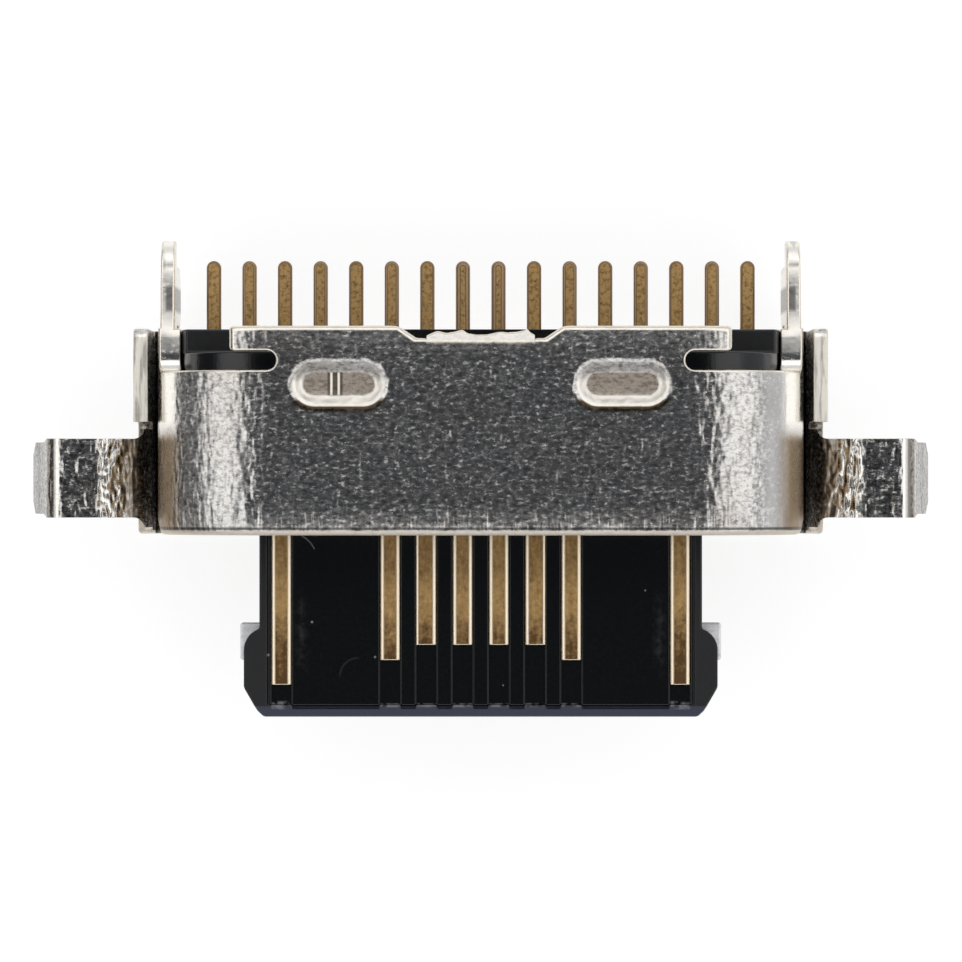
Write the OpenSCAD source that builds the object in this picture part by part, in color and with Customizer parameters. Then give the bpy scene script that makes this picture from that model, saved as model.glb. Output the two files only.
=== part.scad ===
// A USB-C socket with 16 contacts, sunk into a cut-out of its board: a round-ended steel shell,
// a bracket below it whose two ears stand on the board, and a long tongue that reaches out of
// the shell with a row of contacts on its top and another below it.
// Millimetres, +Z up. The mouth looks to -Y and the solder tails leave to +Y.
// The origin is on the underside of the bracket, midway between the two ears.

/* [Shell] */
// Width of the shell over its round sides
shell_w = 8.94; // [8.8:0.02:9.4]
// Height of the shell
shell_h = 3.16; // [3.1:0.02:3.4]
// Thickness of the shell's sheet
shell_t = 0.3; // [0.24:0.01:0.34]
// Depth of the shell from its front lip to its rear edge
shell_depth = 2.85; // [2.75:0.05:4]
// Distance of the front lip ahead of the ears' middle line
shell_front = 0.78; // [0.75:0.01:1.2]
// Length of the rolled front edge
lip_roll_len = 0.22; // [0.15:0.01:0.3]
// Fall of the rolled front edge
lip_roll_drop = 0.045; // [0.02:0.005:0.06]
// Length of the flap behind the two side slots
flap_len = 0.34; // [0.3:0.01:0.5]
// Width of the flap behind the two side slots
flap_w = 6.84; // [6.4:0.02:7]
// Width of each side slot
slot_w = 0.26; // [0.2:0.01:0.4]
// Distance between the closed ends of the two side slots
slot_span = 5.56; // [5.3:0.02:6]
// Height of the side bands' cut upper edge above the middle of the mouth
band_rise = 0.3; // [0.25:0.01:0.55]
// Radius of the fillet from a side band's cut edge up to the round side
band_fillet = 0.2; // [0.1:0.01:0.2]

/* [Shell dimples] */
// Distance between the two pressed dimples
dimple_pitch = 3.86; // [3.4:0.02:4.1]
// Distance of the dimples' middle ahead of the shell's rear edge
dimple_back = 0.79; // [0.78:0.01:0.85]
// Width of a dimple across its short side
dimple_w = 0.61; // [0.4:0.01:0.64]
// Distance between the centres of a dimple's two round ends
dimple_run = 0.66; // [0.4:0.02:0.9]
// Depth that a dimple is pressed in
dimple_deep = 0.14; // [0.08:0.01:0.2]
// Width of a dimple's sloping wall
dimple_slope = 0.15; // [0.1:0.01:0.18]
// Widening of a dimple on each side where it stands out inside the shell
dimple_grow = 0.075; // [0.05:0.005:0.1]

/* [Rear edge of the shell] */
// Width of the shallow recess at the rear edge
recess_w = 2.24; // [1.8:0.02:2.6]
// Width of the recess at its bottom
recess_floor_w = 1.74; // [1.5:0.02:1.8]
// Depth of the recess
recess_deep = 0.17; // [0.14:0.01:0.3]
// Width of the sheared stub that stands in the recess
stub_w = 1.47; // [1:0.01:1.5]
// Height of the sheared stub
stub_h = 0.19; // [0.1:0.01:0.2]
// Distance of the stub's root ahead of the shell's rear edge
stub_back = 0.23; // [0.2:0.01:0.3]
// Fall of the stub's top from its root to the shell's rear edge
stub_drop = 0.1; // [0.05:0.01:0.14]

/* [Rear legs] */
// Thickness of the rear legs, which are pressed thinner than the shell
leg_t = 0.2; // [0.15:0.01:0.24]
// Distance of the legs' outer faces inside the shell's widest line
leg_inset = 0.04; // [0:0.01:0.04]
// Length of the legs' shoulder behind the shell
leg_reach = 1.23; // [1.05:0.01:1.5]
// Width of the part of a leg that enters the board
leg_w = 0.87; // [0.6:0.01:0.95]
// Gap between the shell's rear edge and the part that enters the board
leg_gap = 0.03; // [0.02:0.01:0.08]
// Length of the first slope on top of a leg
leg_slope_len = 0.39; // [0.3:0.01:0.5]
// Drop of the first slope
leg_slope_drop = 0.12; // [0.05:0.01:0.15]
// Length of the level step between the two slopes
leg_step_len = 0.37; // [0.25:0.01:0.45]
// Length of the second slope
leg_fall_len = 0.2; // [0.15:0.01:0.3]
// Drop of the second slope
leg_fall_drop = 0.07; // [0.04:0.01:0.1]
// Radius of the shoulder's round end
leg_round = 0.4; // [0.3:0.01:0.42]
// Size of the slanted corners at the point of a leg
leg_point = 0.17; // [0.1:0.01:0.25]
// Depth that the legs reach below the top of the board
leg_deep = 1; // [0.6:0.05:1.2]

/* [Bracket] */
// Thickness of the bracket's sheet
bracket_t = 0.2; // [0.15:0.01:0.25]
// Gap between the shell's side and the bracket's wall
side_gap = 0.135; // [0.05:0.005:0.2]
// Inner radius of the bend between the bracket's floor and its walls
channel_r = 0.5; // [0.5:0.05:1.2]
// Height of the rear part of each wall above the floor's underside
wall_h = 1.95; // [1.8:0.05:2.4]
// Distance of the bracket's rear edge ahead of the shell's rear edge
bracket_back = 0; // [0:0.01:0.1]
// Radius of each wall's rear upper corner
wall_round = 0.16; // [0.1:0.01:0.3]

/* [Ears] */
// Width of an ear
ear_w = 1.1; // [0.9:0.02:1.2]
// Radius of the bend from the wall to the ear, on the side that faces up, where there is room
ear_bend = 0.8; // [0.45:0.01:0.85]
// Distance from the middle of the socket to the start of the leg's bend
ear_reach = 5.78; // [5.5:0.01:6.2]
// Radius of the bend from the ear to its leg, on the side that faces up
ear_leg_bend = 0.28; // [0.25:0.01:0.35]
// Angle by which the ears' legs spread outwards
ear_leg_splay = 15; // [0:1:20]
// Width of an ear's leg
ear_leg_w = 1; // [0.6:0.01:1.05]
// Size of the slanted corners at the point of an ear's leg
ear_leg_point = 0.17; // [0.1:0.01:0.25]
// Depth that the ears' legs reach below the top of the board
ear_leg_deep = 1; // [0.7:0.05:1.2]
// Width of the relief slot behind an ear
relief_w = 0.23; // [0.15:0.01:0.3]
// Radius of the small fillet beside an ear's root
ear_fillet = 0.14; // [0.1:0.01:0.2]

/* [Tongue] */
// Distance that the tongue stands out of the shell's front lip
tongue_reach = 2.52; // [2.4:0.02:3.2]
// Thickness of the tongue
tongue_t = 0.7; // [0.66:0.01:0.76]
// Width of the tongue behind its head
tongue_w = 6.11; // [6.08:0.01:6.2]
// Width by which the head at the tongue's end stands out on each side
head_side_w = 0.215; // [0.15:0.005:0.25]
// Length of the head from the tip to its rear shoulders
head_len = 1.23; // [1.1:0.01:1.4]
// Radius of the head's rear shoulders
shoulder_r = 0.3; // [0.2:0.01:0.35]
// Length of the head's tapering front corners
corner_len = 0.41; // [0.3:0.01:0.5]
// Narrowing of the head on each side at the tip
corner_in = 0.27; // [0.2:0.01:0.35]
// Length of the bevel along the tip
nose_len = 0.15; // [0.1:0.01:0.16]
// Depth of the bevel along the tip
nose_drop = 0.16; // [0.1:0.01:0.2]
// Length of the narrow slots in the nose, between the contacts' channels
nose_slot_len = 0.055; // [0.03:0.005:0.07]
// Depth of the slots in the nose
nose_slot_deep = 0.07; // [0.04:0.01:0.1]

/* [Tongue root and flange] */
// Width by which the thick root stands out on each side of the tongue
root_side_w = 0.125; // [0.08:0.005:0.2]
// Thickness of the root
root_t = 1.37; // [1.3:0.01:1.45]
// Length of the root ahead of the flange
root_len = 1; // [0.8:0.02:1.1]
// Depth of the flange that fills the shell
flange_len = 0.79; // [0.75:0.01:1]
// Gap all round between the flange and the shell
flange_gap = 0.02; // [0.01:0.005:0.04]
// Distance of the rear block's face ahead of the shell's rear edge
block_back = 0.02; // [0:0.01:0.06]
// Height of the rear block's top above the middle of the mouth
block_rise = 0.47; // [0.46:0.01:0.5]

/* [Inserts] */
// Plastic beside the outer contacts, at the side edges of the two inserts
edge_wall = 0.04; // [0.03:0.01:0.08]
// Width of the housing's rim on each side of the inserts
rim_w = 0.115; // [0.1:0.005:0.16]
// Distance of the inserts' front edge behind the tip
insert_back = 0.17; // [0.16:0.01:0.26]
// Plastic left between a contact and the nearest outer face of its insert
insert_wall = 0.1; // [0.06:0.01:0.14]
// Length of the inserts' wide rear part
insert_rear = 1.09; // [1.05:0.01:1.1]
// Depth of the channel between a contact's end and the front of its insert
channel_deep = 0.04; // [0.02:0.01:0.06]

/* [Middle plate] */
// Thickness of the steel plate in the middle of the tongue
plate_t = 0.16; // [0.1:0.01:0.2]
// Distance of the plate's sides inside the inserts' sides
plate_inset = 0.09; // [0.05:0.01:0.2]
// Distance that a latch lug stands out of the head
lug_proud = 0.06; // [0.05:0.005:0.08]
// Length of a latch lug
lug_len = 0.52; // [0.3:0.01:0.6]
// Distance of the lugs' rear edge behind the tip
lug_back = 1.3; // [1.24:0.01:1.35]
// Distance of the plate's rear edge ahead of the shell's rear edge
plate_back = 0.67; // [0.66:0.01:0.7]
// Distance of the plate's rear wings inside the shell
wing_inset = 0.22; // [0.15:0.01:0.4]

/* [Shield plates] */
// Thickness of the two shield plates on the root
shield_t = 0.1; // [0.08:0.01:0.12]
// Height of the folded sides of a shield plate
shield_fold_h = 0.38; // [0.2:0.01:0.42]
// Distance of a shield plate's front edge behind the front of the root
shield_back = 0.05; // [0.02:0.01:0.1]
// Length of the shield plate that is set in the flange
shield_tuck = 0.2; // [0.1:0.01:0.3]

/* [Contacts] */
// Distance between neighbouring contacts on the tongue
pitch = 0.5; // [0.49:0.002:0.502]
// Width of a contact on the tongue
contact_w = 0.3; // [0.24:0.01:0.32]
// Thickness of a contact
contact_t = 0.15; // [0.12:0.01:0.16]
// Height that a contact stands proud of the tongue
contact_proud = 0.02; // [0.01:0.005:0.03]
// Distance of the ground contacts' ends behind the tip
ground_back = 0.45; // [0.4:0.01:0.6]
// Distance of the power contacts' ends behind the tip
power_back = 0.79; // [0.7:0.01:0.9]
// Distance of the signal contacts' ends behind the tip
signal_back = 1; // [0.9:0.01:1.2]
// Inner radius of the upper contacts' two bends
contact_bend = 0.1; // [0.06:0.01:0.12]
// Distance of the upper contacts' first bend ahead of the shell's rear edge
drop_back = 0.6; // [0.58:0.01:0.62]
// Distance of the lower contacts' last straight ahead of the shell's rear edge
spread_back = 0.32; // [0.2:0.01:0.36]

/* [Tails] */
// Width of a solder tail
tail_w = 0.2; // [0.16:0.01:0.24]
// Distance of the outermost tails' middle line inside the shell's inner side
tail_edge = 0.46; // [0.38:0.01:0.5]
// Length of the tails behind the shell
tail_reach = 0.95; // [0.8:0.01:1.3]

/* [Hidden] */
// Facets of a drawn circle
fine = 48;
// Overlap that carries a cut clear of the solid it cuts
over = 0.5;

// Heights
axis_z = bracket_t + shell_h / 2;
tongue_low = axis_z - tongue_t / 2;
tongue_high = axis_z + tongue_t / 2;
seat_z = tongue_low - contact_proud;
upper_z = tongue_high + contact_proud - contact_t;
plate_low = axis_z - plate_t / 2;
plate_high = axis_z + plate_t / 2;
root_low = axis_z - root_t / 2;
root_high = axis_z + root_t / 2;
band_z = axis_z + band_rise;
block_z = axis_z + block_rise;

// Distances along the socket
lip_y = -shell_front;
rear_y = shell_depth - shell_front;
tip_y = lip_y - tongue_reach;
slot_back_y = rear_y - flap_len;
slot_front_y = slot_back_y - slot_w;
flange_back_y = slot_back_y;
flange_front_y = flange_back_y - flange_len;
root_front_y = flange_front_y - root_len;
block_back_y = rear_y - block_back;
dimple_y = rear_y - dimple_back;
tail_end_y = rear_y + tail_reach;
plate_rear_y = rear_y - plate_back;
insert_front_y = tip_y + insert_back;
insert_wide_y = block_back_y - insert_rear;
drop_y = rear_y - drop_back;
spread_y = rear_y - spread_back;
bracket_y = rear_y - bracket_back;

// Places of the outermost tails of the two rows, in steps from the middle of the row of 16
upper_tail_place = 6.5;
lower_tail_place = 7.5;

// Widths and places across the socket
mouth_w = shell_w - 2 * shell_t;
mouth_h = shell_h - 2 * shell_t;
wall_x = shell_w / 2 + side_gap;
leg_x = shell_w / 2 - leg_inset - leg_t;
insert_w = tongue_w - 2 * rim_w;
head_w = tongue_w + 2 * head_side_w;
root_w = tongue_w + 2 * root_side_w;
plate_w = insert_w - 2 * plate_inset;
lug_w = head_w + 2 * lug_proud;
wing_w = mouth_w - 2 * wing_inset;
ground_x = insert_w / 2 - edge_wall - contact_w / 2;
tail_pitch = (mouth_w / 2 - tail_edge) / lower_tail_place;
bend_r = min(ear_bend, ear_reach - wall_x - bracket_t);

// Each contact: name, row (1 above, -1 below), distance from the middle on the tongue, place of
// its tail in steps, and the distance of its end behind the tip
CONTACTS = [
    ["a1_ground", 1, -ground_x, -upper_tail_place, ground_back],
    ["a4_power", 1, -2.5 * pitch, -4.5, power_back],
    ["a5_config", 1, -1.5 * pitch, -2.5, signal_back],
    ["a6_data_plus", 1, -0.5 * pitch, -0.5, signal_back],
    ["a7_data_minus", 1, 0.5 * pitch, 0.5, signal_back],
    ["a8_sideband", 1, 1.5 * pitch, 2.5, signal_back],
    ["a9_power", 1, 2.5 * pitch, 4.5, power_back],
    ["a12_ground", 1, ground_x, upper_tail_place, ground_back],
    ["b12_ground", -1, -ground_x, -lower_tail_place, ground_back],
    ["b9_power", -1, -2.5 * pitch, -5.5, power_back],
    ["b8_sideband", -1, -1.5 * pitch, -3.5, signal_back],
    ["b7_data_minus", -1, -0.5 * pitch, -1.5, signal_back],
    ["b6_data_plus", -1, 0.5 * pitch, 1.5, signal_back],
    ["b5_config", -1, 1.5 * pitch, 3.5, signal_back],
    ["b4_power", -1, 2.5 * pitch, 5.5, power_back],
    ["b1_ground", -1, ground_x, lower_tail_place, ground_back],
];
UPPER = [for (c = CONTACTS) if (c[1] > 0) c];
LOWER = [for (c = CONTACTS) if (c[1] < 0) c];

// Extrusions along each axis. A profile is drawn in the plane across it: X and Z for along_y,
// Y and Z for along_x.
module along_x(x0, x1) {
    translate([x0, 0, 0]) rotate([90, 0, 90]) linear_extrude(x1 - x0) children();
}

module along_y(y0, y1) {
    translate([0, y1, 0]) rotate([90, 0, 0]) linear_extrude(y1 - y0) children();
}

module along_z(z0, z1) {
    translate([0, 0, z0]) linear_extrude(z1 - z0) children();
}

module both_sides() {
    children();
    mirror([1, 0, 0]) children();
}

module rect(x0, y0, x1, y1) {
    translate([x0, y0]) square([x1 - x0, y1 - y0]);
}

// A round-ended outline, wider than high, about the middle of the mouth
module round_ended(w, h) {
    translate([0, axis_z]) {
        square([w - h, h], center = true);
        for (side = [-1, 1]) translate([side * (w - h) / 2, 0]) circle(d = h, $fn = fine);
    }
}

// A quarter ring about the origin, in the quadrant that the two signs give
module quarter_ring(r_in, r_out, sx, sy) {
    intersection() {
        difference() {
            circle(r = r_out, $fn = fine);
            circle(r = r_in, $fn = fine);
        }
        rect(min(0, sx * 2 * r_out), min(0, sy * 2 * r_out),
             max(0, sx * 2 * r_out), max(0, sy * 2 * r_out));
    }
}

// A round-ended frustum that narrows downwards, from radius r0 at z0 to radius r1 at z1
module oval_frustum(r0, z0, r1, z1) {
    for (side = [-1, 1]) {
        translate([side * dimple_run / 2, 0, z1]) cylinder(h = z0 - z1, r1 = r1, r2 = r0, $fn = fine);
    }
    along_x(-dimple_run / 2, dimple_run / 2) polygon([[-r1, z1], [r1, z1], [r0, z0], [-r0, z0]]);
}

// The shell: a drawn tube with two pressed dimples, slots that free a flap at the rear,
// side bands that run back into the two legs, and a recess with the stub of its carrier strip
module shell() {
    color("silver") difference() {
        union() {
            difference() {
                union() {
                    rolled_lip();
                    along_y(lip_y + lip_roll_len, rear_y) round_ended(shell_w, shell_h);
                }
                along_y(lip_y - over, rear_y + over) round_ended(mouth_w, mouth_h);
            }
            both_sides() dimple_bulge(0);
            both_sides() rear_leg();
        }
        both_sides() dimple_hollow();
        both_sides() side_slot();
        both_sides() leg_top();
        rear_recess();
    }
}

// The front end of the tube, whose outer face falls to the lip
module rolled_lip() {
    half = (shell_w - shell_h) / 2;
    r_lip = shell_h / 2 - lip_roll_drop;
    r_full = shell_h / 2;
    roll_y = lip_y + lip_roll_len;
    for (side = [-1, 1]) translate([side * half, lip_y, axis_z]) {
        rotate([-90, 0, 0]) cylinder(h = lip_roll_len, r1 = r_lip, r2 = r_full, $fn = fine);
    }
    along_x(-half, half) {
        polygon([[lip_y, axis_z - r_lip], [roll_y, axis_z - r_full],
                 [roll_y, axis_z + r_full], [lip_y, axis_z + r_lip]]);
    }
}

module dimple_hollow() {
    top_z = axis_z + shell_h / 2;
    slope = dimple_slope / dimple_deep;
    translate([dimple_pitch / 2, dimple_y, 0]) {
        oval_frustum(dimple_w / 2 + over * slope, top_z + over,
                     dimple_w / 2 - dimple_slope, top_z - dimple_deep);
    }
}

// The inner side of a dimple, drawn from the middle of the shell's sheet, or the pocket that
// takes it in the flange
module dimple_bulge(gap) {
    inner_z = axis_z + mouth_h / 2;
    low_z = inner_z - dimple_deep - gap;
    high_z = inner_z + shell_t / 2;
    low_r = dimple_w / 2 + dimple_grow + gap - dimple_slope;
    translate([dimple_pitch / 2, dimple_y, 0]) {
        oval_frustum(low_r + (high_z - low_z) * dimple_slope / dimple_deep, high_z, low_r, low_z);
    }
}

module side_slot() {
    difference() {
        along_z(band_z, axis_z + shell_h) {
            translate([(slot_span + slot_w) / 2, slot_front_y + slot_w / 2]) circle(d = slot_w, $fn = fine);
            rect((slot_span + slot_w) / 2, slot_front_y, shell_w, slot_back_y);
            rect(flap_w / 2, slot_back_y, shell_w, rear_y + over);
        }
        along_x(0, shell_w) difference() {
            rect(slot_front_y - over, band_z - over, slot_front_y + band_fillet, band_z + band_fillet);
            translate([slot_front_y + band_fillet, band_z + band_fillet]) circle(r = band_fillet, $fn = fine);
        }
    }
}

module rear_recess() {
    floor_y = rear_y - recess_deep;
    root_y = rear_y - stub_back;
    top_z = axis_z + shell_h / 2;
    slant = (recess_w - recess_floor_w) / 2 / recess_deep;
    wide = recess_w / 2 + over * slant;
    along_z(axis_z, axis_z + shell_h) difference() {
        polygon([[-recess_floor_w / 2, floor_y], [recess_floor_w / 2, floor_y],
                 [wide, rear_y + over], [-wide, rear_y + over]]);
        carrier_stub(root_y);
    }
    along_x(-stub_w / 2, stub_w / 2) {
        polygon([[root_y, top_z], [rear_y, top_z - stub_drop],
                 [rear_y, top_z + over], [root_y, top_z + over]]);
    }
}

// The torn end of the strip that carried the shell through its press
module carrier_stub(root_y) {
    torn = [[-0.5, 0.5], [-0.42, 0.78], [-0.4, 0.86], [-0.32, 0.68], [-0.24, 0.78], [-0.17, 0.94],
            [-0.12, 0.66], [-0.04, 0.56], [0.06, 0.58], [0.13, 0.7], [0.18, 0.84], [0.24, 0.72],
            [0.34, 0.78], [0.41, 0.9], [0.43, 1], [0.46, 0.72], [0.5, 0.55]];
    polygon(concat([[-stub_w / 2, root_y - over]],
                   [for (p = torn) [p[0] * stub_w, root_y + p[1] * stub_h]],
                   [[stub_w / 2, root_y - over]]));
}

module rear_leg() {
    low_z = seat_z - leg_deep;
    leg_y = rear_y + leg_gap;
    high_z = seat_z + leg_point;
    along_x(leg_x, leg_x + leg_t) {
        rect(slot_front_y + leg_t, seat_z, rear_y + leg_reach, band_z);
        polygon([[leg_y, high_z], [leg_y, low_z + leg_point], [leg_y + leg_point, low_z],
                 [leg_y + leg_w - leg_point, low_z], [leg_y + leg_w, low_z + leg_point],
                 [leg_y + leg_w, high_z]]);
    }
}

// What is cut from the top of a leg and of its side band: a slope, a level step, a second slope
// and the corner of the round end
module leg_top() {
    round_y = rear_y + leg_reach - leg_round;
    fall_y = round_y - leg_fall_len;
    step_y = fall_y - leg_step_len;
    slope_y = step_y - leg_slope_len;
    step_z = band_z - leg_slope_drop;
    round_z = step_z - leg_fall_drop;
    along_x(flap_w / 2, shell_w) difference() {
        polygon([[slope_y, band_z], [step_y, step_z], [fall_y, step_z], [round_y, round_z],
                 [round_y, round_z - leg_round], [round_y + 2 * leg_round, round_z - leg_round],
                 [round_y + 2 * leg_round, band_z + over], [slope_y, band_z + over]]);
        translate([round_y, round_z - leg_round]) circle(r = leg_round, $fn = fine);
    }
}

// The bracket: a channel below the shell, and an ear on each wall that bends out over the board
// and then down through it
module bracket() {
    color("gainsboro") {
        difference() {
            along_y(lip_y, bracket_y) channel_section();
            both_sides() wall_cuts();
        }
        both_sides() ear();
    }
}

module channel_section() {
    out_r = channel_r + bracket_t;
    difference() {
        channel_fill(wall_x + bracket_t, 0, out_r);
        channel_fill(wall_x, bracket_t, channel_r);
    }
}

// What a channel of that half width and bend encloses, from its floor up
module channel_fill(half, low, bend) {
    top = low > 0 ? wall_h + over : wall_h;
    rect(-half + bend, low, half - bend, top);
    rect(-half, low + bend, half, top);
    for (side = [-1, 1]) translate([side * (half - bend), low + bend]) circle(r = bend, $fn = fine);
}

// The upper edge of a wall steps down at the ear, and its rear corner is round
module wall_cuts() {
    step_y = ear_w / 2 + relief_w;
    along_x(wall_x - side_gap / 2, wall_x + 2 * bracket_t) {
        rect(lip_y - over, ear_bend_z() + relief_w / 2, step_y, wall_h + over);
        rect(lip_y - over, ear_bend_z(), step_y - relief_w / 2, ear_bend_z() + over);
        translate([step_y - relief_w / 2, ear_bend_z() + relief_w / 2]) circle(d = relief_w, $fn = fine);
        difference() {
            rect(bracket_y - wall_round, wall_h - wall_round, bracket_y + over, wall_h + over);
            translate([bracket_y - wall_round, wall_h - wall_round]) circle(r = wall_round, $fn = fine);
        }
    }
}

function ear_bend_z() = seat_z + bracket_t - bend_r;

module ear() {
    intersection() {
        along_y(-ear_w, ear_w) ear_section();
        union() {
            along_z(seat_z - 2 * ear_leg_deep, wall_h) ear_plan();
            along_x(ear_reach, ear_reach + 2 * ear_leg_deep) ear_leg_outline();
        }
    }
}

// The bends of an ear, from the wall outwards
module ear_section() {
    top_z = seat_z + bracket_t;
    leg_z = top_z - ear_leg_bend;
    leg_len = (leg_z - (seat_z - ear_leg_deep)) / cos(ear_leg_splay) + ear_leg_bend;
    translate([wall_x + bend_r, ear_bend_z()]) {
        quarter_ring(bend_r - bracket_t, bend_r, -1, 1);
    }
    rect(wall_x + bend_r, seat_z, ear_reach, top_z);
    intersection() {
        translate([ear_reach, leg_z]) rotate(ear_leg_splay) {
            difference() {
                union() {
                    intersection() {
                        circle(r = ear_leg_bend, $fn = fine);
                        rect(-ear_leg_bend, 0, ear_leg_bend, ear_leg_bend);
                    }
                    rect(0, -leg_len, ear_leg_bend, 0);
                }
                circle(r = ear_leg_bend - bracket_t, $fn = fine);
                rect(-ear_leg_bend, -leg_len - over, ear_leg_bend - bracket_t, 0);
            }
        }
        rect(ear_reach, seat_z - ear_leg_deep, ear_reach + leg_len, top_z);
    }
}

// An ear from above, with a small fillet on each side of its root
module ear_plan() {
    root_x = wall_x + bracket_t / 2;
    fillet_x = root_x + ear_fillet;
    rect(wall_x - side_gap, -ear_w / 2, ear_reach, ear_w / 2);
    difference() {
        rect(wall_x - side_gap, -ear_w / 2 - ear_fillet, fillet_x, ear_w / 2 + ear_fillet);
        for (side = [-1, 1]) {
            translate([fillet_x, side * (ear_w / 2 + ear_fillet)]) circle(r = ear_fillet, $fn = fine);
        }
    }
}

// An ear's leg from the side: it narrows at the bend and again at its point
module ear_leg_outline() {
    low_z = seat_z - ear_leg_deep;
    neck_z = seat_z - bracket_t;
    half = ear_leg_w / 2;
    polygon([[-ear_w / 2, seat_z + over], [-ear_w / 2, seat_z], [-half, neck_z],
             [-half, low_z + ear_leg_point], [-half + ear_leg_point, low_z],
             [half - ear_leg_point, low_z], [half, low_z + ear_leg_point], [half, neck_z],
             [ear_w / 2, seat_z], [ear_w / 2, seat_z + over]]);
}

// The moulded housing: the rim and nose of the tongue, its thick root, the flange that fills
// the shell and the block behind it
module housing() {
    color("#1b1c20") difference() {
        union() {
            intersection() {
                along_z(tongue_low, tongue_high) tongue_plan();
                along_x(-shell_w / 2, shell_w / 2) tongue_profile();
            }
            along_y(root_front_y, flange_front_y) rect(-root_w / 2, root_low, root_w / 2, root_high);
            along_y(flange_front_y, block_back_y) {
                round_ended(mouth_w - 2 * flange_gap, mouth_h - 2 * flange_gap);
            }
        }
        along_y(flange_back_y, rear_y) rect(-shell_w / 2, block_z, shell_w / 2, axis_z + shell_h);
        both_sides() dimple_bulge(flange_gap);
        nose_slots(UPPER, tongue_high - nose_slot_deep);
        nose_slots(LOWER, tongue_low - over);
        insert_body(1);
        insert_body(-1);
        plate_body();
        shield_body(1);
        shield_body(-1);
    }
}

// Narrow slots across the nose, one between each two neighbouring channels of a row
module nose_slots(row, low_z) {
    along_z(low_z, low_z + over + nose_slot_deep) {
        for (i = [1:len(row) - 1]) {
            rect(row[i - 1][2] + contact_w / 2, insert_front_y - nose_slot_len,
                 row[i][2] - contact_w / 2, insert_front_y + over);
        }
    }
}

module tongue_plan() {
    half = head_w / 2;
    shoulder_y = tip_y + head_len - shoulder_r;
    rect(-tongue_w / 2, shoulder_y, tongue_w / 2, root_front_y + over);
    rect(-half, tip_y + corner_len, half, shoulder_y);
    rect(-half + shoulder_r, shoulder_y, half - shoulder_r, shoulder_y + shoulder_r);
    for (side = [-1, 1]) {
        translate([side * (half - shoulder_r), shoulder_y]) circle(r = shoulder_r, $fn = fine);
    }
    // The corners taper in two steps to the tip
    polygon([[-half, tip_y + corner_len], [-half + 0.7 * corner_in, tip_y + 0.2 * corner_len],
             [-half + corner_in, tip_y], [half - corner_in, tip_y],
             [half - 0.7 * corner_in, tip_y + 0.2 * corner_len], [half, tip_y + corner_len]]);
}

module tongue_profile() {
    polygon([[tip_y, tongue_low + nose_drop], [tip_y, tongue_high - nose_drop],
             [tip_y + nose_len, tongue_high], [root_front_y + over, tongue_high],
             [root_front_y + over, tongue_low], [tip_y + nose_len, tongue_low]]);
}

// The block of an insert before its contacts are let in: thin along the tongue, thicker in the
// root, and wide in the flange. The upper one also fills the space behind the middle plate.
module insert_body(row) {
    half = insert_w / 2;
    tail_place = row > 0 ? upper_tail_place : lower_tail_place;
    wide = tail_place * tail_pitch + tail_w / 2 + insert_wall;
    intersection() {
        along_x(-shell_w / 2, shell_w / 2) insert_profile(row);
        along_z(0, axis_z + shell_h) {
            rect(-half, insert_front_y, half, insert_wide_y);
            rect(-wide, insert_wide_y, wide, block_back_y);
        }
    }
}

module insert_profile(row) {
    if (row > 0) {
        rect(insert_front_y, plate_high, plate_rear_y, tongue_high);
        rect(root_front_y, plate_high, plate_rear_y, block_z);
        rect(plate_rear_y, plate_low, block_back_y, block_z);
    } else {
        rect(insert_front_y, tongue_low, root_front_y, plate_low);
        rect(root_front_y, seat_z - insert_wall, block_back_y, plate_low);
    }
}

module upper_insert() {
    color("#24252a") difference() {
        insert_body(1);
        for (c = UPPER) contact_body(c);
        for (c = UPPER) end_channel(c);
    }
}

module lower_insert() {
    color("#24252a") difference() {
        insert_body(-1);
        for (c = CONTACTS) contact_body(c);
        for (c = LOWER) end_channel(c);
    }
}

// The shallow channel that runs on from a contact's end to the front of its insert
module end_channel(c) {
    x = c[2];
    z = c[1] > 0 ? tongue_high - channel_deep : tongue_low - over;
    along_z(z, z + over + channel_deep) {
        rect(x - contact_w / 2, insert_front_y - over, x + contact_w / 2, tip_y + c[4]);
    }
}

// The steel plate in the middle of the tongue, whose lugs stand out where a plug latches
module middle_plate() {
    color("lightsteelblue") plate_body();
}

module plate_body() {
    lug_y = tip_y + lug_back;
    along_z(plate_low, plate_high) {
        rect(-plate_w / 2, insert_front_y, plate_w / 2, plate_rear_y);
        rect(-lug_w / 2, lug_y - lug_len, lug_w / 2, lug_y);
        rect(-wing_w / 2, insert_wide_y, wing_w / 2, plate_rear_y);
    }
}

// A thin plate on one side of the root, with its sides folded along the root
module upper_shield() {
    color("#b9bcc0") shield_body(1);
}

module lower_shield() {
    color("#b9bcc0") shield_body(-1);
}

module shield_body(row) {
    half = root_w / 2;
    face_z = axis_z + row * root_t / 2;
    out_z = face_z + row * shield_t;
    side_z = face_z - row * shield_fold_h;
    along_y(root_front_y + shield_back, flange_front_y + shield_tuck) {
        rect(-half, min(face_z, out_z), half, max(face_z, out_z));
    }
    both_sides() along_y(root_front_y + shield_back, flange_front_y) {
        rect(half, min(side_z, out_z), half + shield_t, max(side_z, out_z));
    }
}

// A contact: a strip on the tongue that spreads to the place of its tail. The lower row runs
// straight out to the tails, and the upper row steps down to them in two bends.
module contact(c) {
    color(c[1] > 0 ? "#c9a35b" : "#b8924c") contact_body(c);
}

module contact_body(c) {
    if (c[1] > 0) {
        intersection() {
            along_x(-shell_w / 2, shell_w / 2) upper_contact_profile();
            along_z(0, axis_z + shell_h) contact_plan(c, drop_y - contact_bend);
        }
    } else {
        along_z(seat_z, seat_z + contact_t) contact_plan(c, spread_y);
    }
}

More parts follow.
